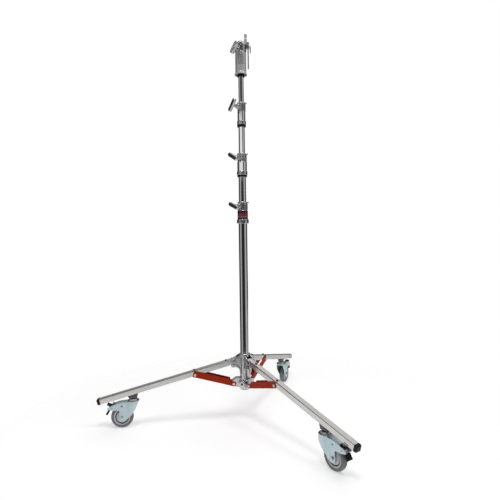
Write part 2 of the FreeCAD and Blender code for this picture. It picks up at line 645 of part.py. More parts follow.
def leg_frame(angle):
    """Placement of a piece drawn along +X from the hinge, for the leg at an azimuth."""
    tilt = at(SIZES["hinge_reach"], 0, SIZES["hinge_height"], about(Y_AXIS, SIZES["leg_drop"]))
    return azimuth(angle).multiply(tilt)


def round_corners(body, pad, half):
    """Fillet the long outer corners of a square section drawn along +X."""
    doc.recompute()
    corners = []
    for i, edge in enumerate(pad.Shape.Edges, start=1):
        bounds = edge.BoundBox
        if bounds.XLength > 5 and abs(bounds.Center.y) > half - 0.1 and abs(bounds.Center.z) > half - 0.1:
            corners.append(f"Edge{i}")
    rounding = body.newObject("PartDesign::Fillet", body.Name + "_corners")
    rounding.Base = (pad, corners)
    bind(rounding, "Radius", "leg_corner")
    doc.recompute()
    return rounding


def make_leg(leg, angle):
    drop = math.radians(SIZES["leg_drop"])
    half = SIZES["leg_width"] / 2
    length = (SIZES["leg_end_reach"] - SIZES["hinge_reach"]) / math.cos(drop) - SIZES["cap_thickness"]
    inner = half - SIZES["leg_wall"]
    body = new_body(f"LegTube{leg}")
    sketch = new_sketch(body, "YZ_Plane", -SIZES["leg_tail"])
    draw_outline(sketch, [(-half, -half), (half, -half), (half, half), (-half, half)])
    draw_outline(sketch, [(-inner, -inner), (inner, -inner), (inner, inner), (-inner, inner)])
    pad = extrude(body, sketch, length + SIZES["leg_tail"])
    round_corners(body, pad, half)
    hinge = cross_cylinder(f"LegHinge{leg}", "hinge_pin_radius + turn_clearance", 0, 0, 30)
    slot = box(f"LegSlot{leg}", 27, 6, 4.5, at(length - 62, -half - 3, -11))
    bolt_holes = [cylinder(f"LegBoltHole{leg}{i}", 3, 8, at(place, 0, half - 5))
                  for i, place in enumerate(bolt_places())]
    holes = joined(f"LegHoles{leg}", [hinge, slot] + bolt_holes)
    node(less(f"Leg{leg}", body, holes), f"leg_{leg}_tube", leg_frame(angle))
    cap = new_body(f"LegCap{leg}")
    sketch = new_sketch(cap, "YZ_Plane", length)
    draw_outline(sketch, [(-half, -half), (half, -half), (half, half), (-half, half)])
    rounding = round_corners(cap, extrude(cap, sketch, "cap_thickness"), half)
    far = [f"Face{i}" for i, face in enumerate(rounding.Shape.Faces, start=1)
           if face.CenterOfMass.x > length + SIZES["cap_thickness"] - 0.1]
    edge_break(cap, rounding, far, 3)
    plug_width = 2 * inner - 1
    plug = box(f"LegCapPlug{leg}", 18, plug_width, plug_width, at(length - 17.9, 0.5 - inner, 0.5 - inner))
    node(joined(f"LegCapSolid{leg}", [cap, plug]), f"leg_{leg}_cap", leg_frame(angle))
    bolts = []
    for i, place in enumerate(bolt_places()):
        head = cylinder(f"LegBoltHead{leg}{i}", 6.5, 3.5, at(place, 0, half))
        crown = doc.addObject("Part::Cone", f"LegBoltCrown{leg}{i}")
        crown.Radius1, crown.Radius2, crown.Height = 6.5, 4, 2
        crown.Placement = at(place, 0, half + 3.5)
        shank = cylinder(f"LegBoltShank{leg}{i}", 3, 10, at(place, 0, half - 10))
        bolts.append(joined(f"LegBolt{leg}{i}", [head, crown, shank]))
    node(grouped(f"LegBolts{leg}", bolts), f"leg_{leg}_bolts", leg_frame(angle))


def bolt_places():
    """Distances along the leg, from its hinge, of the bolts whose heads show on its top."""
    drop = math.radians(SIZES["leg_drop"])
    return [(reach - SIZES["hinge_reach"]) / math.cos(drop) for reach in (106, SIZES["link_end_reach"])]


def link_size():
    """The link's pin distance and its rise in degrees."""
    across = SIZES["link_end_reach"] - SIZES["link_pin_reach"]
    up = SIZES["link_end_height"] - SIZES["link_pin_height"]
    return math.hypot(across, up), math.degrees(math.atan2(up, across))


def make_link(leg, angle):
    """Channel strut. Its web stops short of both pins, so the hub's tongue and the leg pass inside it."""
    length, rise = link_size()
    low, high = SIZES["link_low"], SIZES["link_high"]
    inside = SIZES["link_gap"] / 2
    outside = inside + SIZES["link_thickness"]
    side_outline = [(-13, -low, 9), (length + 12, -low, 3), (length + 12, high, 4), (27, high, 5),
                    (21, 13, 5), (-13, 13, 9)]
    web = box(f"LinkWeb{leg}", length - 64 - 30, 2 * outside, "link_thickness", at(30, -outside, -low))
    sides = [plate(f"LinkSide{leg}0", side_outline, -outside, -inside),
             plate(f"LinkSide{leg}1", side_outline, inside, outside)]
    holes = [cross_cylinder(f"LinkHole{leg}{i}", "rivet_radius", x, 0, 40) for i, x in enumerate((0, length))]
    channel = joined(f"LinkChannel{leg}", sides + [web])
    frame = azimuth(angle).multiply(
        at(SIZES["link_pin_reach"], 0, SIZES["link_pin_height"], about(Y_AXIS, -rise)))
    node(less(f"Link{leg}", channel, joined(f"LinkHoles{leg}", holes)), f"link_{leg}", frame)
    inner_pin = cross_cylinder(f"LinkPin{leg}", "rivet_radius", 0, 0, outside)
    ends = [cross_cylinder(f"LinkInnerHead{leg}", 7.5, 0, 0, outside + 2.5)]
    ends[0] = less(f"LinkInnerHeads{leg}", ends[0], cross_cylinder(f"LinkInnerGap{leg}", 20, 0, 0, outside))
    rivets = [joined(f"LinkInnerRivet{leg}", [inner_pin, ends[0]])]
    for i, side in enumerate((-1, 1)):
        start = inside if side > 0 else -outside
        shank = cylinder(f"LinkOuterShank{leg}{i}", "rivet_radius", outside - inside,
                         at(length, start, 0, about(X_AXIS, -90)))
        start = outside if side > 0 else -outside - 2.5
        head = cylinder(f"LinkOuterHead{leg}{i}", 7.5, 2.5, at(length, start, 0, about(X_AXIS, -90)))
        rivets.append(joined(f"LinkOuterRivet{leg}{i}", [shank, head]))
    node(grouped(f"LinkRivets{leg}", rivets), f"link_{leg}_rivets", frame)


# ---------------------------------------------------------------- casters


def make_caster_mount(leg, angle):
    """Wedge under the leg, stem with nut, and the fixed race that the swivel head turns on."""
    reach = SIZES["swivel_reach"]
    drop = math.radians(SIZES["leg_drop"])

    def underside(x):
        below = SIZES["leg_width"] / 2 / math.cos(drop)
        return SIZES["hinge_height"] - (x - SIZES["hinge_reach"]) * math.tan(drop) - below

    wedge_outline = [(reach - 22, 168, 4), (reach + 22, 168, 4), (reach + 28, underside(reach + 28), 0),
                     (reach - 28, underside(reach - 28), 0)]
    wedge = plate(f"MountWedge{leg}", wedge_outline, -14, 14)
    stem = new_body(f"MountStem{leg}")
    revolve(stem, [
        (0, "crown_bottom - 7"), ("axle_radius + 3", "crown_bottom - 7"),
        ("axle_radius + 5", "crown_bottom - 5"),
        ("axle_radius + 5", "crown_bottom - face_gap"), ("axle_radius", "crown_bottom - face_gap"),
        ("axle_radius", "crown_floor + face_gap"), ("race_radius", "crown_floor + face_gap"),
        ("race_radius", "race_top - 2"), ("race_radius - 2", "race_top"), ("stem_radius", "race_top"),
        ("stem_radius", 172), (0, 172),
    ])
    stem.Placement = at(x=reach)
    nut = hexagon(f"MountNut{leg}", 24, 10, at(reach, 0, number("race_top") + 1))
    node(joined(f"CasterMount{leg}", [wedge, stem, nut]), f"leg_{leg}_caster_mount", azimuth(angle))


FORK_SIDE = [(-26.5, 149, 2), (-22, 124, 30), (8, 72, 40), (50, 38, 26), (80, 42, 17), (75, 103, 9),
             (118, 104, 25), (150, 114, 6), (122, 131, 40), (76, 147, 80), (46, 149, 10)]
# the hollow leaves the fork's top open from x = 98 outwards, where the brake pedal stands
FORK_HOLLOW = [(-60, 144, 0), (46, 145.5, 10), (76, 143.5, 60), (98, 136, 0), (98, 170, 0), (180, 170, 0),
               (180, -20, 0), (-60, -20, 0)]
PEDAL_TAB = [(112, 123, 0), (143, 134, 1.5), (143, 139, 1.5), (111, 128, 0)]
PEDAL_FINGER = [(106, 147, 1.5), (116, 120, 0), (122, 122, 0), (112, 149, 1.5)]
PEDAL_FOOT = [(119, 112, 0), (128, 103, 6), (143, 80, 1.5), (147, 83, 1.5), (133, 107, 8), (123, 120, 0)]


def make_caster(leg, angle):
    frame = azimuth(angle).multiply(at(x=SIZES["swivel_reach"]))
    trail, axle_height = SIZES["wheel_trail"], SIZES["wheel_radius"]
    pedal = SIZES["pedal_reach"], SIZES["pedal_height"]
    outside = SIZES["fork_width"] / 2
    inside = outside - SIZES["fork_thickness"]
    shell = plate(f"ForkShell{leg}", FORK_SIDE, -outside, outside)
    hollow = plate(f"ForkHollow{leg}", FORK_HOLLOW, -inside, inside)
    fork = less(f"Fork{leg}", shell, hollow)
    crown = new_body(f"Crown{leg}")
    revolve(crown, [
        (0, "crown_bottom"), ("crown_radius - 6", "crown_bottom"), ("crown_radius", "crown_bottom + 2"),
        ("crown_radius", "crown_top - 1"), ("crown_radius - 1", "crown_top"), (0, "crown_top"),
    ])
    holes = [
        cylinder(f"ForkStemHole{leg}", "axle_radius + turn_clearance", 60, at(z=120)),
        cross_cylinder(f"ForkAxleHole{leg}", "axle_radius", trail, axle_height, 40),
        cross_cylinder(f"ForkPedalHole{leg}", "pedal_pin_radius + turn_clearance", *pedal, 40),
        cross_cylinder(f"ForkRivetHole{leg}", 2.6, trail, 127, 40),
        cylinder(f"ForkDish{leg}", "dish_radius", 30, at(z=SIZES["crown_floor"])),
    ]
    solid = joined(f"ForkSolid{leg}", [fork, crown])
    node(less(f"CasterFork{leg}", solid, joined(f"ForkHoles{leg}", holes)), f"caster_{leg}_fork", frame)

    shank = cross_cylinder(f"AxleShank{leg}", "axle_radius", trail, axle_height, outside + 6)
    head = hexagon(f"AxleHead{leg}", 14, 5, at(trail, -outside, axle_height, about(X_AXIS, 90)))
    nut = hexagon(f"AxleNut{leg}", 14, 5, at(trail, outside + 5, axle_height, about(X_AXIS, 90)))
    node(joined(f"CasterAxle{leg}", [shank, head, nut]), f"caster_{leg}_axle", frame)

    # the hub and the tyre are turned about the axle, so their outlines give a radius and a distance across
    half = SIZES["wheel_width"] / 2
    seat = 46
    wheel_frame = frame.multiply(at(trail, 0, axle_height, about(X_AXIS, 90)))
    bore = "axle_radius + turn_clearance"
    turned(f"WheelHub{leg}", f"caster_{leg}_wheel", [
        (bore, -half - 1.5), (12, -half - 1.5), (13, -9), (32, -10), (34, -7), (37, -7), (39, -half + 3),
        (seat, -half + 3), (seat, half - 3), (39, half - 3), (37, 7), (34, 7), (32, 10), (13, 9),
        (12, half + 1.5), (bore, half + 1.5),
    ], placement=wheel_frame)
    rim = SIZES["wheel_radius"]
    turned(f"Tyre{leg}", f"caster_{leg}_tyre", [
        (seat, -half + 3), (48, -half), (rim - 7, -half), (rim - 3, -half + 3), (rim - 0.8, -half + 8),
        ("wheel_radius", -3), ("wheel_radius", 3), (rim - 0.8, half - 8), (rim - 3, half - 3),
        (rim - 7, half), (48, half), (seat, half - 3),
    ], placement=wheel_frame)

    knuckle = cross_cylinder(f"PedalKnuckle{leg}", 7, *pedal, inside - 0.5)
    pin = cross_cylinder(f"PedalPin{leg}", "pedal_pin_radius", *pedal, outside + 1.5)
    tab = plate(f"PedalTab{leg}", PEDAL_TAB, -13, 13)
    finger = plate(f"PedalFinger{leg}", PEDAL_FINGER, -7, 7)
    foot = plate(f"PedalFoot{leg}", PEDAL_FOOT, -16, 16)
    node(joined(f"CasterPedal{leg}", [knuckle, pin, tab, finger, foot]), f"caster_{leg}_brake", frame)


# ---------------------------------------------------------------- build, check and write


def main():
    make_tubes()
    make_column_plug()
    make_riser_bushes()
    make_collars()
    make_receiver()
    make_baby_pin()
    make_lower_hub()
    make_leg_collar()
    for leg, angle in LEGS.items():
        make_leg(leg, angle)
        make_link(leg, angle)
        make_caster_mount(leg, angle)
        make_caster(leg, angle)
    doc.recompute()
    for thing in doc.Objects:
        if {"Invalid", "Error"} & set(thing.State):
            raise RuntimeError(f"{thing.Name} did not recompute: {thing.State}")
    for thing in nodes:
        if thing.Shape.isNull() or not thing.Shape.isValid():
            raise RuntimeError(f"{thing.Label} has no valid shape")
    os.makedirs("parts", exist_ok=True)
    for thing in nodes:
        thing.Shape.exportStep(f"parts/{thing.Label}.step")
    print(len(nodes), "sub-parts written")


main()
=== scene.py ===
"""Looks of the rolling stand. Lengths are metres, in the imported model's own frame: +Z up, floor at 0."""

import json
import math

import bmesh
import bpy
from mathutils import Matrix, Vector


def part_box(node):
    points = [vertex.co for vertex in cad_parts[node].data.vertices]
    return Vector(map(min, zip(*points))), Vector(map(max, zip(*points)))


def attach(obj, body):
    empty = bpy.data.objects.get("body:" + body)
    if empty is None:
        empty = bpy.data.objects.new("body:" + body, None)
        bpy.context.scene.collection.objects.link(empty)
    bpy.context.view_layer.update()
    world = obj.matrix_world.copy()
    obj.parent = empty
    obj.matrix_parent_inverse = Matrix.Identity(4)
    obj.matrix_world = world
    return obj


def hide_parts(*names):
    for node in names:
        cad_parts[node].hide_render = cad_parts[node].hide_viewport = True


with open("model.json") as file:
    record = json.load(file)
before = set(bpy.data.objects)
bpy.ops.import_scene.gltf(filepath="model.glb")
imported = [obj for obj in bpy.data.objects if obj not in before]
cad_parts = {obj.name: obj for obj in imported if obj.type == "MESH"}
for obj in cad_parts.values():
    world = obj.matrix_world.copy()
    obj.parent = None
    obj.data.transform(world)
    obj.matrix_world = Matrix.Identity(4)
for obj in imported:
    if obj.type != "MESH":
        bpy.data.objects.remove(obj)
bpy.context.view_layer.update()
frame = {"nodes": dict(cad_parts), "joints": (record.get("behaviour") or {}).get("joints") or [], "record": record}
nodes = frame["nodes"]
joints = {joint["name"]: joint for joint in frame["joints"]}
slots = {part["node"]: part["material_slot"] for part in frame["record"]["subparts"]}
body_of = {
    node: body
    for body, members in frame["record"]["behaviour"]["bodies"].items()
    for node in members
}
LEGS = ("1", "2", "3")


def place_of(joint):
    return Vector(joints[joint]["pos_m"])


# ---------------------------------------------------------------- shader nodes


def feed(tree, socket, value):
    """Link another node's output into a socket, or set the socket's own value."""
    if isinstance(value, bpy.types.NodeSocket):
        tree.links.new(value, socket)
    else:
        socket.default_value = value


def add_node(tree, kind, inputs):
    """Add a node and feed its inputs, named with underscores for spaces."""
    node = tree.nodes.new(kind)
    for name, value in inputs.items():
        feed(tree, node.inputs[name.replace("_", " ")], value)
    return node


def mixed(tree, factor, first, second):
    """A mix of two colours, each a plain (red, green, blue) or a socket."""
    node = tree.nodes.new("ShaderNodeMix")
    node.data_type = "RGBA"
    amount, below, above = (node.inputs[i] for i in (0, 6, 7))
    feed(tree, amount, factor)
    for socket, colour in ((below, first), (above, second)):
        feed(tree, socket, colour if isinstance(colour, bpy.types.NodeSocket) else (*colour, 1.0))
    return node.outputs[2]


def ramped(tree, factor, stops, interpolation="LINEAR"):
    """A colour ramp through (place from 0 to 1, colour) stops, in order."""
    node = add_node(tree, "ShaderNodeValToRGB", {"Fac": factor})
    ramp = node.color_ramp
    ramp.interpolation = interpolation
    ramp.elements.remove(ramp.elements[1])
    for i, (where, colour) in enumerate(stops):
        element = ramp.elements.new(where) if i else ramp.elements[0]
        element.position = where
        element.color = (*colour, 1.0)
    return node.outputs["Color"]


# ---------------------------------------------------------------- materials

# Pointiness of a finely meshed piece, from its hollows to its outer edges
HOLLOW, RIDGE = 0.44, 0.56


class Finish:
    """A Principled material, and the nodes that vary it over the surface."""

    def __init__(self, name, **sockets):
        self.material = bpy.data.materials.new(name)
        self.material.use_nodes = True
        self.tree = self.material.node_tree
        self.shader = self.tree.nodes["Principled BSDF"]
        for socket, value in sockets.items():
            self.shader.inputs[socket.replace("_", " ")].default_value = value
        self.place = self.add("ShaderNodeTexCoord").outputs["Object"]
        self.normal = None

    def add(self, kind, **inputs):
        return add_node(self.tree, kind, inputs)

    def grain(self, size, turn=(0.0, 0.0, 0.0), detail=3.0):
        """Noise whose patches have the given size in metres, along axes turned from the frame's."""
        size = size if isinstance(size, tuple) else (size, size, size)
        mapping = self.add("ShaderNodeMapping", Vector=self.place, Rotation=turn, Scale=size)
        mapping.vector_type = "TEXTURE"
        noise = self.add("ShaderNodeTexNoise", Vector=mapping.outputs["Vector"], Scale=1.0, Detail=detail)
        return noise.outputs["Fac"]

    def edges(self):
        """0 in hollows, 1 on outer edges."""
        pointiness = self.add("ShaderNodeNewGeometry").outputs["Pointiness"]
        return self.span(pointiness, 0.0, 1.0, start=HOLLOW, end=RIDGE)

    def span(self, factor, low, high, start=0.3, end=0.7):
        """Go from low to high as the factor goes from start to end."""
        node = self.add("ShaderNodeMapRange", Value=factor,
                        From_Min=start, From_Max=end, To_Min=low, To_Max=high)
        return node.outputs["Result"]

    def mix(self, factor, first, second):
        return mixed(self.tree, factor, first, second)

    def bands(self, low, high, stops):
        """Plain bands of colour up the Z axis, each from its own share of the height between low and high."""
        z = self.add("ShaderNodeSeparateXYZ", Vector=self.place).outputs["Z"]
        return ramped(self.tree, self.span(z, 0.0, 1.0, start=low, end=high), stops, "CONSTANT")

    def colour(self, source):
        feed(self.tree, self.shader.inputs["Base Color"], source)

    def rough(self, factor, low, high):
        feed(self.tree, self.shader.inputs["Roughness"], self.span(factor, low, high))

    def bump(self, factor, height):
        """Raise the surface by up to the given height, on top of any earlier bump."""
        node = self.add("ShaderNodeBump", Height=factor, Distance=height, Strength=1.0)
        if self.normal:
            feed(self.tree, node.inputs["Normal"], self.normal)
        self.normal = node.outputs["Normal"]
        feed(self.tree, self.shader.inputs["Normal"], self.normal)
        return self


def chrome():
    finish = Finish("mirror_chrome", Metallic=1.0)
    finish.colour(finish.mix(finish.grain(0.05), (0.74, 0.75, 0.76), (0.90, 0.90, 0.91)))
    finish.rough(finish.grain((0.0007, 0.0007, 0.06)), 0.03, 0.10)
    return finish.bump(finish.grain((0.0009, 0.0009, 0.12)), 0.000003).material


# how much darker the painted shade in a casting's hollows is than its dark patches, and how much brighter its
# edges are than its light ones, partly rubbed wear and partly a painted highlight
HOLLOW_SHADE, EDGE_WEAR_AND_HIGHLIGHT = 0.25, 1.45


def cast_metal(name, dark, light, grain, pits, sheen):
    """Cast aluminium: grainy skin with pits, painted shade in its hollows, and edges brightened partly by rubbed
    wear and partly by a painted highlight.
    """
    finish = Finish(name, Metallic=1.0)
    mottle = finish.span(finish.grain(0.0045, detail=4.0), 0.0, 1.0, start=0.36, end=0.64)
    edges = finish.edges()
    # painted shade: the skin darkens in the hollows, where shade falls
    out_of_shade = finish.span(edges, 0.0, 1.0, start=0.08, end=0.46)
    skin = finish.mix(out_of_shade, [HOLLOW_SHADE * c for c in dark], finish.mix(mottle, dark, light))
    # the edges lighten, partly as rubbed wear and partly as a painted highlight
    rubbed = finish.span(edges, 0.0, 1.0, start=0.35, end=0.9)
    finish.colour(finish.mix(rubbed, skin, [EDGE_WEAR_AND_HIGHLIGHT * c for c in light]))
    finish.rough(finish.grain(0.003), sheen, sheen + 0.18)
    finish.bump(finish.grain(0.006, detail=4.0), pits)
    return finish.bump(finish.grain(0.0013), grain).material


def drawn_nickel(name, turn):
    """Satin plated tube, with fine draw lines along its length."""
    finish = Finish(name, Metallic=1.0)
    clouds = finish.grain((0.16, 0.02, 0.02), turn)
    finish.colour(finish.mix(clouds, (0.50, 0.49, 0.475), (0.66, 0.65, 0.635)))
    finish.rough(finish.grain((0.07, 0.0012, 0.0012), turn), 0.16, 0.28)
    finish.bump(finish.grain((0.09, 0.0006, 0.0006), turn), 0.000012)
    return finish.bump(finish.grain(0.012), 0.00003).material


def satin_barrel():
    """Bright satin plate over a casting, with faint upright polishing marks."""
    finish = Finish("satin_barrel", Metallic=0.35)
    marks = finish.grain((0.004, 0.004, 0.06))
    finish.colour(finish.mix(marks, (0.50, 0.50, 0.53), (0.74, 0.74, 0.78)))
    finish.rough(finish.grain((0.002, 0.002, 0.05)), 0.24, 0.40)
    return finish.bump(finish.grain((0.0008, 0.0008, 0.04)), 0.00003).material


def red_powder(name, turn):
    """Brick-red powder coat, with orange peel and a few rubbed streaks."""
    finish = Finish(name, Specular_IOR_Level=0.08)
    coat = finish.mix(finish.grain(0.03), (0.31, 0.022, 0.007), (0.47, 0.045, 0.010))
    rubs = finish.span(finish.grain((0.05, 0.002, 0.002), turn), 0.0, 0.3, start=0.62, end=0.75)
    finish.colour(finish.mix(rubs, coat, (0.47, 0.09, 0.03)))
    finish.rough(finish.grain(0.008), 0.38, 0.52)
    return finish.bump(finish.grain(0.0016), 0.00004).material


def zinc(name, dark, light, rough, metallic=1.0):
    finish = Finish(name, Metallic=metallic)
    finish.colour(finish.mix(finish.grain(0.018), dark, light))
    finish.rough(finish.grain(0.01), rough, rough + 0.16)
    return finish.bump(finish.grain(0.003), 0.00003).material


def blue_zinc():
    """Pressed sheet in blue zinc: a pale blue tint with faint rainbow clouds and press marks."""
    finish = Finish("blue_zinc_sheet", Metallic=0.85)
    base = finish.mix(finish.grain(0.03), (0.39, 0.51, 0.55), (0.55, 0.66, 0.69))
    warm = finish.span(finish.grain(0.05, detail=1.0), 0.0, 0.4, start=0.5, end=0.72)
    finish.colour(finish.mix(warm, base, (0.60, 0.61, 0.66)))
    finish.rough(finish.grain(0.012), 0.26, 0.42)
    finish.bump(finish.grain(0.02), 0.0003)
    return finish.bump(finish.grain(0.0015), 0.00002).material


def moulded(name, dark, light, rough, shine=0.5):
    """Moulded plastic: a fine texture and a slight change of shade."""
    finish = Finish(name, Specular_IOR_Level=shine)
    finish.colour(finish.mix(finish.grain(0.006), dark, light))
    finish.rough(finish.grain(0.004), rough, rough + 0.15)
    return finish.bump(finish.grain(0.0008), 0.00003).material


def tyre_rubber():
    """Dark grey rubber, a little dusty, with fine moulding texture."""
    finish = Finish("grey_tyre_rubber")
    rubber = finish.mix(finish.grain(0.006), (0.14, 0.143, 0.155), (0.21, 0.214, 0.23))
    dust = finish.span(finish.grain(0.014, detail=5.0), 0.0, 0.4, start=0.5, end=0.8)
    finish.colour(finish.mix(dust, rubber, (0.31, 0.31, 0.32)))
    finish.rough(finish.grain(0.003), 0.55, 0.78)
    return finish.bump(finish.grain(0.0009), 0.00006).material


def printed_band():
    """Black and red band, without lettering, a little scuffed."""
    low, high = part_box("base_band")
    finish = Finish("printed_band", Coat_Weight=0.3, Coat_Roughness=0.2)
    black, red, silver = (0.010, 0.010, 0.011), (0.28, 0.010, 0.028), (0.42, 0.42, 0.42)
    print_bands = finish.bands(low.z, high.z, ((0.0, black), (0.21, silver), (0.26, red), (0.70, black)))
    scuffs = finish.span(finish.grain((0.004, 0.004, 0.0008)), 0.0, 0.5, start=0.62, end=0.8)
    finish.colour(finish.mix(scuffs, print_bands, (0.16, 0.14, 0.14)))
    finish.rough(finish.grain(0.003), 0.3, 0.5)
    return finish.bump(finish.grain(0.0015), 0.00002).material


def leg_turn(leg):
    """Angles about X, Y and Z that tip the frame's axes down and swing them round to a leg's own."""
    foot = sum(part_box(f"leg_{leg}_cap"), Vector()) / 2
    out = foot - place_of(f"leg_{leg}_hinge")
    return (0.0, math.atan2(-out.z, out.xy.length), math.atan2(out.y, out.x))


MATERIALS = {
    "chrome": chrome(),
    "casting": cast_metal("sand_cast_aluminium", (0.20, 0.20, 0.205), (0.54, 0.54, 0.545),
                          grain=0.00012, pits=0.0004, sheen=0.13),
    "knob": cast_metal("die_cast_aluminium", (0.30, 0.30, 0.30), (0.56, 0.56, 0.56),
                       grain=0.00004, pits=0.0002, sheen=0.10),
    "zinc": zinc("bright_zinc", (0.34, 0.345, 0.35), (0.52, 0.525, 0.53), rough=0.16),
    "fork": blue_zinc(),
    "brake": zinc("brake_steel", (0.30, 0.31, 0.33), (0.46, 0.47, 0.49), rough=0.22),
    "wheel": moulded("grey_nylon", (0.50, 0.53, 0.56), (0.60, 0.63, 0.66), rough=0.30),
    "tyre": tyre_rubber(),
    "black_plastic": moulded("black_plastic", (0.006, 0.006, 0.007), (0.014, 0.014, 0.015),
                             rough=0.42, shine=0.2),
    # dark steel: on the bolts and screws their own finish, on the caster mounts partly painted shade under the
    # legs
    "dark_steel_and_shade": zinc("dark_steel_and_shade", (0.055, 0.057, 0.060), (0.12, 0.122, 0.126), rough=0.20),
    "rivet": zinc("bright_rivet", (0.66, 0.65, 0.63), (0.80, 0.79, 0.77), rough=0.26, metallic=0.5),
    "barrel": satin_barrel(),
    "band": printed_band(),
}
LEG_METAL = {leg: drawn_nickel(f"satin_nickel_{leg}", leg_turn(leg)) for leg in LEGS}
LINK_PAINT = {leg: red_powder(f"red_powder_coat_{leg}", leg_turn(leg)) for leg in LEGS}


def material_of(node):
    """The finish of a CAD node, from its slot and, on legs and links, its own direction."""
    slot = slots[node]
    if slot == "leg":
        return LEG_METAL[node.split("_")[1]]
    if slot == "link":
        return LINK_PAINT[node.split("_")[1]]
    return MATERIALS[slot]


# ---------------------------------------------------------------- mesh work

# points nearer than this are one point, and faces that turn by less than this are one face
WELD, FLAT = 0.00001, math.radians(1.0)
# how many sides a turned piece has: a tube or tyre, a wheel or ring, and a small rivet
FINE, MEDIUM, COARSE = 128, 96, 48
# edges sharper than these are bevelled, or stay creased on a turned piece
BEVEL_ANGLE, CREASE_ANGLE = math.radians(35.0), math.radians(30.0)


def smoothstep(value, low, high):
    """0 below low, 1 above high, and an even curve between."""
    t = min(1.0, max(0.0, (value - low) / (high - low)))
    return t * t * (3 - 2 * t)


def add_object(name, data):
    item = bpy.data.objects.new(name, data)
    bpy.context.scene.collection.objects.link(item)
    return item


def new_piece(name, mesh, node, material=None):
    """A piece that stands for a CAD node: on its body and, unless told otherwise, in the finish of the node's
    slot.
    """
    piece = add_object(name, mesh)
    mesh.materials.clear()
    mesh.materials.append(material or material_of(node))
    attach(piece, body_of[node])
    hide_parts(node)
    return piece


def settle(piece):
    """Apply the piece's modifiers to its mesh."""
    bpy.context.view_layer.update()
    solved = piece.evaluated_get(bpy.context.evaluated_depsgraph_get())
    mesh = bpy.data.meshes.new_from_object(solved)
    piece.modifiers.clear()
    piece.data = mesh
    return mesh


def welded_copy(node, flatten=False):
    """A copy of a CAD node's mesh with its doubled points merged and, if asked, its flat faces joined."""
    mesh = nodes[node].data.copy()
    work = bmesh.new()
    work.from_mesh(mesh)
    bmesh.ops.remove_doubles(work, verts=work.verts, dist=WELD)
    if flatten:
        bmesh.ops.dissolve_limit(work, angle_limit=FLAT, verts=work.verts, edges=work.edges)
    work.to_mesh(mesh)
    work.free()
    return mesh


def casting(node, voxel, rounds, warp=None):
    """Recast a CAD node as one soft-edged skin, with fillets in its corners, and warp it if asked."""
    piece = new_piece(node + "_cast", welded_copy(node), node)
    remesh = piece.modifiers.new("Skin", "REMESH")
    remesh.mode = "VOXEL"
    remesh.voxel_size = voxel
    smooth = piece.modifiers.new("Fillets", "SMOOTH")
    smooth.factor = 0.5
    smooth.iterations = rounds
    mesh = settle(piece)
    if warp:
        for vertex in mesh.vertices:
            vertex.co = warp(vertex.co)
    mesh.shade_smooth()


def round_edges(piece, width):
    """Round a piece's sharp edges."""
    bevel = piece.modifiers.new("Edges", "BEVEL")
    bevel.width = width
    bevel.segments = 2
    bevel.limit_method = "ANGLE"
    bevel.angle_limit = BEVEL_ANGLE
    bevel.harden_normals = True
    settle(piece)


def bevelled(node, width, material=None):
    """Copy a CAD node with a small radius on its edges."""
    piece = new_piece(node + "_finished", welded_copy(node, flatten=True), node, material)
    round_edges(piece, width)


def slab(name, node, outline, half, frame_matrix, width, material):
    """A closed outline in the local X-Z plane, given depth along Y, with its edges rounded."""
    work = bmesh.new()
    face = work.faces.new([work.verts.new((x, -half, z)) for x, z in outline])
    grown = bmesh.ops.extrude_face_region(work, geom=[face])
    moved = [item for item in grown["geom"] if isinstance(item, bmesh.types.BMVert)]
    bmesh.ops.translate(work, verts=moved, vec=(0.0, 2 * half, 0.0))
    bmesh.ops.recalc_face_normals(work, faces=work.faces)
    mesh = bpy.data.meshes.new(name)
    work.to_mesh(mesh)
    work.free()
    mesh.transform(frame_matrix)
    round_edges(new_piece(name, mesh, node, material), width)


def lathe(name, node, profile, segments, frame_matrix=Matrix(), material=None):
    """Turn a closed outline of (radius, height) points about Z, then place it."""
    work = bmesh.new()
    rings = []
    for radius, height in profile:
        ring = []
        for i in range(segments):
            angle = 2 * math.pi * i / segments
            ring.append(work.verts.new((radius * math.cos(angle), radius * math.sin(angle), height)))
        rings.append(ring)
    for i, ring in enumerate(rings):
        after = rings[(i + 1) % len(rings)]
        for k in range(segments):
            turn = (k + 1) % segments
            work.faces.new((ring[k], ring[turn], after[turn], after[k]))
    bmesh.ops.recalc_face_normals(work, faces=work.faces)
    mesh = bpy.data.meshes.new(name)
    work.to_mesh(mesh)
    work.free()
    mesh.transform(frame_matrix)
    mesh.shade_smooth()
    mesh.set_sharp_from_angle(angle=CREASE_ANGLE)
    new_piece(name, mesh, node, material)


# ---------------------------------------------------------------- column and risers

TUBE_WALL, TUBE_LIP = 0.002, 0.0006


def tube(node):
    """Polished tube with its rims just broken."""
    low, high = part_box(node)
    outer = (high.x - low.x) / 2
    inner = outer - TUBE_WALL
    lip = TUBE_LIP
    lathe(node + "_polished", node, [
        (inner, low.z + lip), (inner + lip, low.z), (outer - lip, low.z), (outer, low.z + lip),
        (outer, high.z - lip), (outer - lip, high.z), (inner + lip, high.z), (inner, high.z - lip),
    ], FINE)


for tube_node in ("base_column", "riser_1_tube", "riser_2_tube", "riser_3_tube"):
    tube(tube_node)

# ---------------------------------------------------------------- castings and knobs

# the polished barrel of each collar and of the head: its radius, its start and end above the casting's foot,
# and its finish
BARRELS = {
    "riser_1_collar": (0.0275, 0.0215, 0.0750, "chrome"),
    "riser_2_collar": (0.0223, 0.0215, 0.0740, "chrome"),
    "receiver_body": (0.0310, 0.0180, 0.1270, "barrel"),
}
# how far a barrel's ends reach into the casting, how proud its face stands, and its broken edge
BARREL_ROOT, BARREL_PROUD, BARREL_EDGE = 0.0010, 0.0004, 0.0002
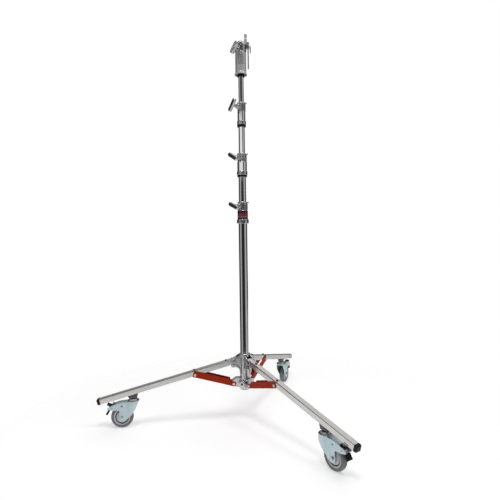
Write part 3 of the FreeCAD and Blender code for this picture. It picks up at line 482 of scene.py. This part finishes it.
# the head's flared skirt: radius and height above the casting's foot
SKIRT = ((0.0300, 0.0176), (0.0314, 0.0171), (0.0363, 0.0014), (0.0363, 0.0006), (0.0345, 0.0006))
# a T-knob's cross bar: how far out it begins, over what length it swells, its depth, and how much it swells
GRIP_START, GRIP_EASE, GRIP_DEPTH, GRIP_SWELL = 0.050, 0.006, 0.014, 1.25


def barrel(node, radius, start, end, finish):
    """A polished sleeve standing just proud of a casting's rough skin."""
    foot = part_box(node)[0].z
    root, edge, face = radius - BARREL_ROOT, radius + BARREL_EDGE, radius + BARREL_PROUD
    lathe(node + "_barrel", node, [
        (root, foot + start), (edge, foot + start), (face, foot + start + BARREL_EDGE),
        (face, foot + end - BARREL_EDGE), (edge, foot + end), (root, foot + end),
    ], FINE, material=MATERIALS[finish])


def skirt():
    """Satin skirt at the foot of the head."""
    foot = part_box("receiver_body")[0].z
    profile = [(radius, foot + height) for radius, height in SKIRT]
    lathe("receiver_skirt", "receiver_body", profile, FINE, material=MATERIALS["barrel"])


def fuller(node):
    """Swell a T-knob's cross bar about its own long axis, which the CAD keeps as a plain slot shape."""
    pivot = place_of(node + "_turn")
    centre, outward = Vector((0.0, 0.0, pivot.z)), Vector((pivot.x, pivot.y, 0.0)).normalized()
    points = [vertex.co - centre for vertex in nodes[node].data.vertices]
    middle = max(point.dot(outward) for point in points) - GRIP_DEPTH / 2
    tips = [point - point.dot(outward) * outward for point in points]
    along = max(tips, key=lambda tip: tip.length).normalized()

    def warp(point):
        away = point - centre
        out = away.dot(outward)
        swell = 1.0 + (GRIP_SWELL - 1.0) * smoothstep(out, GRIP_START, GRIP_START + GRIP_EASE)
        length = along * away.dot(along)
        wide = away - outward * out - length
        depth = outward * (out + max(0.0, out - middle) * (swell - 1.0))
        return centre + length + wide * swell + depth

    return warp


for cast_node in ("lower_hub", "leg_collar", "base_collar", *BARRELS):
    casting(cast_node, voxel=0.0010, rounds=4)
skirt()
for barrel_node, sizes in BARRELS.items():
    barrel(barrel_node, *sizes)
for knob_node in ("base_knob", "riser_1_knob", "riser_2_knob", "receiver_knob"):
    casting(knob_node, voxel=0.0007, rounds=5, warp=fuller(knob_node))
casting("spigot_arm", voxel=0.0007, rounds=5)
casting("spigot_lever", voxel=0.0005, rounds=4)

# ---------------------------------------------------------------- casters


def caster_frame(leg):
    """From the caster's own axes, with X trailing and Z up from the floor, to the frame."""
    swivel = place_of(f"caster_{leg}_swivel")
    turn = math.atan2(swivel.y, swivel.x)
    return Matrix.Translation((swivel.x, swivel.y, 0.0)) @ Matrix.Rotation(turn, 4, "Z")


# the fork: its round crown, with the rim that stays clear, and half of the width over its straight sides
CROWN_RADIUS, CROWN_RIM, FORK_HALF = 0.034, 0.0004, 0.021
# the heights between which the sides spread, where across the fork the sides begin, and how softly they turn
FLARE_FOOT, FLARE_TOP = 0.060, 0.136
SIDE_START, SIDE_END = 0.012, 0.018
FLARE_SOFTNESS = 0.012
AXLE_REACH, AXLE_HEIGHT, RIVET_HEIGHT = 0.062, 0.0625, 0.127
# the grip pads on the brake's steel, seen from the side: start, end, thickness and half width
PADS = {
    "foot_pad": (Vector((0.1302, 0.1060)), Vector((0.1462, 0.0800)), 0.0092, 0.0172),
    "tab_pad": (Vector((0.1200, 0.1282)), Vector((0.1435, 0.1368)), 0.0068, 0.0135),
}
PAD_EDGE = 0.0007
# ribs on each pad, how high their crests stand as a share of the pad, and how far along each pitch they begin
RIBS, RIB_CREST, RIB_START = 4, 1.35, 0.6


def flared(frame_matrix):
    """Spread the fork's sides out to the round crown, as the pressed sheet does."""
    back = frame_matrix.inverted()

    def warp(point):
        local = back @ point
        reach = math.sqrt(max(0.0, (CROWN_RADIUS - CROWN_RIM) ** 2 - local.x ** 2))
        excess = reach / FORK_HALF - 1.0
        full = (excess + math.sqrt(excess ** 2 + FLARE_SOFTNESS)) / 2
        half = abs(local.y)
        spread = full * smoothstep(local.z, FLARE_FOOT, FLARE_TOP) * smoothstep(half, SIDE_START, SIDE_END)
        wide = min(half * (1.0 + spread), max(half, FORK_HALF * (1.0 + full)))
        return frame_matrix @ Vector((local.x, math.copysign(wide, local.y), local.z))

    return warp


def across_fork(leg, height):
    """Lathe axes that lie across the fork, over the wheel's middle and at the given height."""
    middle = Matrix.Translation((AXLE_REACH, 0, height))
    return caster_frame(leg) @ middle @ Matrix.Rotation(math.pi / 2, 4, "X")


def ribbed(start, end, thickness):
    """Side outline of a grip pad along a line: a sleeve over the steel, with ribs on its outer face."""
    along = (end - start).normalized()
    across = Vector((-along.y, along.x)) * thickness / 2
    length = (end - start).length
    points = [start - across, end - across]
    for i in range(RIBS):
        far, near = length * (1 - i / RIBS), length * (1 - (i + RIB_START) / RIBS)
        points += [start + along * far + across * RIB_CREST, start + along * near + across * RIB_CREST]
        if i < RIBS - 1:
            step = length * (1 - (i + 1) / RIBS)
            points += [start + along * near + across, start + along * step + across]
    points.append(start + across)
    return points


# turned outlines, as radius and height along the axle
WHEEL_PROFILE = (
    (0.0062, -0.0175), (0.0118, -0.0175), (0.0126, -0.0168), (0.0132, -0.0098), (0.0145, -0.0090),
    (0.0300, -0.0105), (0.0325, -0.0100), (0.0332, -0.0040), (0.0376, -0.0040), (0.0384, -0.0122),
    (0.0396, -0.0134), (0.0460, -0.0134), (0.0460, 0.0134), (0.0396, 0.0134), (0.0384, 0.0122),
    (0.0376, 0.0040), (0.0332, 0.0040), (0.0325, 0.0100), (0.0300, 0.0105), (0.0145, 0.0090),
    (0.0132, 0.0098), (0.0126, 0.0168), (0.0118, 0.0175), (0.0062, 0.0175),
)
TYRE_SIDE = (
    (0.0461, 0.0131), (0.0468, 0.0150), (0.0480, 0.0157), (0.0492, 0.0150), (0.0500, 0.0152),
    (0.0508, 0.0158), (0.0540, 0.0160), (0.0550, 0.0154), (0.0558, 0.0154), (0.0580, 0.0148),
    (0.0598, 0.0132), (0.0611, 0.0105), (0.0620, 0.0070), (0.0624, 0.0035), (0.0625, 0.0012),
)
# a black ring in each side of the wheel's groove: painted shade, a dark sheet where the groove is only in shadow
GROOVE_SHADE_RING = ((0.0334, 0.0030), (0.0375, 0.0030), (0.0375, 0.0075), (0.0334, 0.0075))
EYELET = (
    (0.0002, -0.0212), (0.0030, -0.0215), (0.0040, -0.0212), (0.0042, -0.0206),
    (0.0042, 0.0206), (0.0040, 0.0212), (0.0030, 0.0215), (0.0002, 0.0212),
)
# turned outlines, as radius and height above the floor
RACE = (
    (0.0150, 0.1590), (0.0190, 0.1588), (0.0222, 0.1572), (0.0234, 0.1545), (0.0236, 0.1500),
    (0.0232, 0.1482), (0.0150, 0.1482),
)
WASHER = (
    (0.0100, 0.1592), (0.0186, 0.1592), (0.0192, 0.1600), (0.0192, 0.1622), (0.0184, 0.1632),
    (0.0100, 0.1636),
)
GREASE_SEAL = ((0.0238, 0.1474), (0.0292, 0.1474), (0.0292, 0.1484), (0.0238, 0.1484))


def wheel(leg):
    """Turned nylon wheel with a deep groove, darkened by black rings that are painted shade, in a soft tyre with
    stepped sides.
    """
    turn, black = across_fork(leg, AXLE_HEIGHT), MATERIALS["black_plastic"]
    lathe(f"caster_{leg}_wheel_turned", f"caster_{leg}_wheel", WHEEL_PROFILE, MEDIUM, turn)
    profile = [(r, -h) for r, h in TYRE_SIDE] + [(r, h) for r, h in reversed(TYRE_SIDE)]
    lathe(f"caster_{leg}_tyre_moulded", f"caster_{leg}_tyre", profile, FINE, turn)
    # black rings in the groove: painted shade
    for side in (-1, 1):
        ring = [(r, side * h) for r, h in GROOVE_SHADE_RING]
        lathe(f"caster_{leg}_seal_{side + 1}", f"caster_{leg}_tyre", ring, MEDIUM, turn, material=black)


def swivel(leg):
    """Bright domed race over a black seal in the fork's dish, and the dark rivet through the fork."""
    fork, mount, place = f"caster_{leg}_fork", f"leg_{leg}_caster_mount", caster_frame(leg)
    rivet, black = across_fork(leg, RIVET_HEIGHT), MATERIALS["black_plastic"]
    lathe(f"caster_{leg}_race", mount, RACE, MEDIUM, place, material=MATERIALS["rivet"])
    lathe(f"caster_{leg}_washer", mount, WASHER, MEDIUM, place, material=MATERIALS["zinc"])
    lathe(f"caster_{leg}_seal", fork, GREASE_SEAL, MEDIUM, place, material=black)
    lathe(f"caster_{leg}_rivet", fork, EYELET, COARSE, rivet, material=black)


def brake(leg):
    """Bent steel pedal with a ribbed black pad on its foot and another on its release tab."""
    node = f"caster_{leg}_brake"
    bevelled(node, width=0.0006)
    for pad, (start, end, thickness, half) in PADS.items():
        slab(f"caster_{leg}_{pad}", node, ribbed(start, end, thickness), half, caster_frame(leg), PAD_EDGE,
             MATERIALS["black_plastic"])


# how many times longer and fuller the cap is than in the CAD, and its edge radius
CAP_LENGTH, CAP_SWELL, CAP_EDGE = 2.1, 1.03, 0.0012


def end_cap(leg):
    """The leg's cap, drawn out along the leg so that its skirt closes over the tube's end."""
    node = f"leg_{leg}_cap"
    down, around = leg_turn(leg)[1:]
    turn = Matrix.Rotation(around, 4, "Z") @ Matrix.Rotation(down, 4, "Y")
    back = turn.inverted()
    mesh = welded_copy(node, flatten=True)
    far = max((back @ vertex.co).x for vertex in mesh.vertices)
    middle = back @ (sum((vertex.co for vertex in mesh.vertices), Vector()) / len(mesh.vertices))
    fixed = Vector((far, middle.y, middle.z))
    grown = Matrix.Diagonal((CAP_LENGTH, CAP_SWELL, CAP_SWELL, 1.0))
    mesh.transform(turn @ Matrix.Translation(fixed) @ grown @ Matrix.Translation(-fixed) @ back)
    round_edges(new_piece(node + "_closed", mesh, node), CAP_EDGE)


for leg in LEGS:
    casting(f"caster_{leg}_fork", voxel=0.0010, rounds=3, warp=flared(caster_frame(leg)))
    wheel(leg)
    brake(leg)
    swivel(leg)
    bevelled(f"caster_{leg}_axle", width=0.0005)
    # the caster mount in dark steel: partly its own dark finish, partly painted shade under the leg
    bevelled(f"leg_{leg}_caster_mount", width=0.0012, material=MATERIALS["dark_steel_and_shade"])
    end_cap(leg)
    bevelled(f"leg_{leg}_bolts", width=0.0005, material=MATERIALS["dark_steel_and_shade"])
    bevelled(f"link_{leg}", width=0.0005)
    bevelled(f"link_{leg}_rivets", width=0.0006, material=MATERIALS["rivet"])
bevelled("hinge_bolts", width=0.0006)
bevelled("hub_screws", width=0.0004, material=MATERIALS["dark_steel_and_shade"])
bevelled("spigot_pin", width=0.0005, material=MATERIALS["rivet"])

# the CAD meshes that stay in view keep their shape and take their own finish
for node, cad in nodes.items():
    if not cad.hide_render:
        cad.data.materials.clear()
        cad.data.materials.append(material_of(node))

# ---------------------------------------------------------------- camera, floor and light

CAMERA_PLACE = Vector((-0.2568, -2.5272, 1.1002))
CAMERA_HEADING, CAMERA_PITCH, CAMERA_ROLL = (math.radians(a) for a in (83.306, 2.3134, -0.7266))
LENS_MM, SENSOR_MM = 31.535, 36.0
# the floor is solid near the stand and fades out towards its rim
FLOOR_RADIUS, FLOOR_SOLID, FLOOR_GLOW = 1.5, 0.95, 0.42
# each lamp's place, the point that it faces and its power in watts, and the size of both
LAMPS = {
    "Key": ((-0.4, -2.2, 6.8), (0, 0, 0.8), 115),
    "Fill": ((2.4, -1.4, 6.2), (0, 0, 0.7), 42),
}
LAMP_WIDTH, LAMP_HEIGHT = 1.6, 2.2

# The studio, as the polished parts reflect it. A soft edge runs from its first number to its second: heights
# of a direction go from -1 to 1, and turns go round from the front in radians, negative to the left.
# the walls: degrees round from the front, and how bright they are there
WALLS = (
    (-180, 0.38), (-152, 0.34), (-132, 0.02), (-92, 0.02), (-86, 0.36), (-52, 0.38), (-38, 0.02),
    (28, 0.02), (40, 0.36), (78, 0.52), (90, 0.02), (140, 0.02), (180, 0.38),
)
# how bright the ceiling, the soft box and the ground are, and the white that the camera sees behind the stand
CEILING, BACKDROP = 0.9, 1.0
# a soft box over the camera, a little to the left
BOX_SILL, BOX_HEAD = (0.122, 0.14), (0.28, 0.24)
BOX_LEFT, BOX_RIGHT = (-1.22, -1.12), (0.28, 0.16)
# the ceiling and the ground, and how much of the ceiling's brightness the ground has; behind the stand on its
# right, the ceiling comes lower and the ground reaches higher
CEILING_EDGE, GROUND_EDGE, GROUND_SHARE = (0.87, 0.96), (-0.29, -0.35), 0.72
BEHIND_EDGE, CEILING_DROP, GROUND_RISE = (1.75, 1.95), 0.42, 0.15


def grey(level):
    return (level, level, level)


def make_camera():
    ahead = Vector((math.cos(CAMERA_HEADING) * math.cos(CAMERA_PITCH),
                    math.sin(CAMERA_HEADING) * math.cos(CAMERA_PITCH),
                    -math.sin(CAMERA_PITCH)))
    level = ahead.cross(Vector((0, 0, 1))).normalized()
    upright = level.cross(ahead)
    right = level * math.cos(CAMERA_ROLL) + upright * math.sin(CAMERA_ROLL)
    up = upright * math.cos(CAMERA_ROLL) - level * math.sin(CAMERA_ROLL)
    camera = add_object("Camera", bpy.data.cameras.new("Camera"))
    camera.data.lens = LENS_MM
    camera.data.sensor_width = SENSOR_MM
    turn = Matrix((right, up, -ahead)).transposed().to_4x4()
    camera.matrix_world = Matrix.Translation(CAMERA_PLACE) @ turn
    bpy.context.scene.camera = camera


def make_floor():
    """A round sheet of pale paper that fades into the white background."""
    work = bmesh.new()
    bmesh.ops.create_circle(work, cap_ends=True, segments=MEDIUM, radius=FLOOR_RADIUS)
    mesh = bpy.data.meshes.new("studio_floor")
    work.to_mesh(mesh)
    work.free()
    floor = add_object("studio_floor", mesh)
    glow = {"Emission_Color": (1.0, 1.0, 1.0, 1.0), "Emission_Strength": FLOOR_GLOW}
    finish = Finish("studio_paper", Roughness=0.9, **glow)
    finish.colour(finish.mix(finish.grain(0.4), grey(0.85), grey(0.87)))
    away = finish.add("ShaderNodeVectorMath", Vector=finish.place)
    away.operation = "LENGTH"
    fade = finish.span(away.outputs["Value"], 1.0, 0.0, start=FLOOR_SOLID, end=FLOOR_RADIUS)
    feed(finish.tree, finish.shader.inputs["Alpha"], fade)
    mesh.materials.append(finish.material)


def make_lamp(name, place, aim, power):
    lamp = add_object(name, bpy.data.lights.new(name, "AREA"))
    lamp.data.shape = "RECTANGLE"
    lamp.data.size, lamp.data.size_y = LAMP_WIDTH, LAMP_HEIGHT
    lamp.data.energy = power
    away = (Vector(place) - Vector(aim)).normalized()
    lamp.matrix_world = Matrix.Translation(place) @ away.to_track_quat("Z", "Y").to_matrix().to_4x4()


def make_world():
    """A studio seen in the polished parts: soft boxes to the sides and overhead, and a dark room in front."""
    world = bpy.data.worlds.new("Studio")
    bpy.context.scene.world = world
    world.use_nodes = True
    tree = world.node_tree

    def slope(value, start, end, high=1.0):
        """Go from 0 to high as the value goes from start to end."""
        limits = {"Value": value, "From_Min": start, "From_Max": end, "To_Max": high}
        return add_node(tree, "ShaderNodeMapRange", limits).outputs["Result"]

    def combine(operation, first, second):
        node = tree.nodes.new("ShaderNodeMath")
        node.operation = operation
        feed(tree, node.inputs[0], first)
        feed(tree, node.inputs[1], second)
        return node.outputs[0]

    direction = add_node(tree, "ShaderNodeTexCoord", {}).outputs["Generated"]
    split = add_node(tree, "ShaderNodeSeparateXYZ", {"Vector": direction})
    x, y, height = (split.outputs[axis] for axis in "XYZ")
    around = combine("ARCTAN2", x, combine("MULTIPLY", y, -1.0))

    stops = [((degrees + 180) / 360, grey(level)) for degrees, level in WALLS]
    walls = ramped(tree, slope(around, -math.pi, math.pi), stops)

    over_box = combine("MULTIPLY",
                       combine("MULTIPLY", slope(height, *BOX_SILL), slope(height, *BOX_HEAD)),
                       combine("MULTIPLY", slope(around, *BOX_LEFT), slope(around, *BOX_RIGHT)))
    behind = slope(around, *BEHIND_EDGE)
    ceiling = slope(combine("ADD", height, slope(behind, 0.0, 1.0, CEILING_DROP)), *CEILING_EDGE)
    ground = slope(combine("ADD", height, slope(behind, 0.0, 1.0, -GROUND_RISE)), *GROUND_EDGE, GROUND_SHARE)
    above = combine("MAXIMUM", over_box, combine("MAXIMUM", ceiling, ground))

    reflected = mixed(tree, above, walls, grey(CEILING))
    to_camera = add_node(tree, "ShaderNodeLightPath", {}).outputs["Is Camera Ray"]
    seen = mixed(tree, to_camera, reflected, grey(BACKDROP))
    feed(tree, tree.nodes["Background"].inputs["Color"], seen)


make_camera()
make_floor()
make_world()
for lamp_name, lamp_sizes in LAMPS.items():
    make_lamp(lamp_name, *lamp_sizes)
bpy.context.scene.view_settings.view_transform = "Standard"
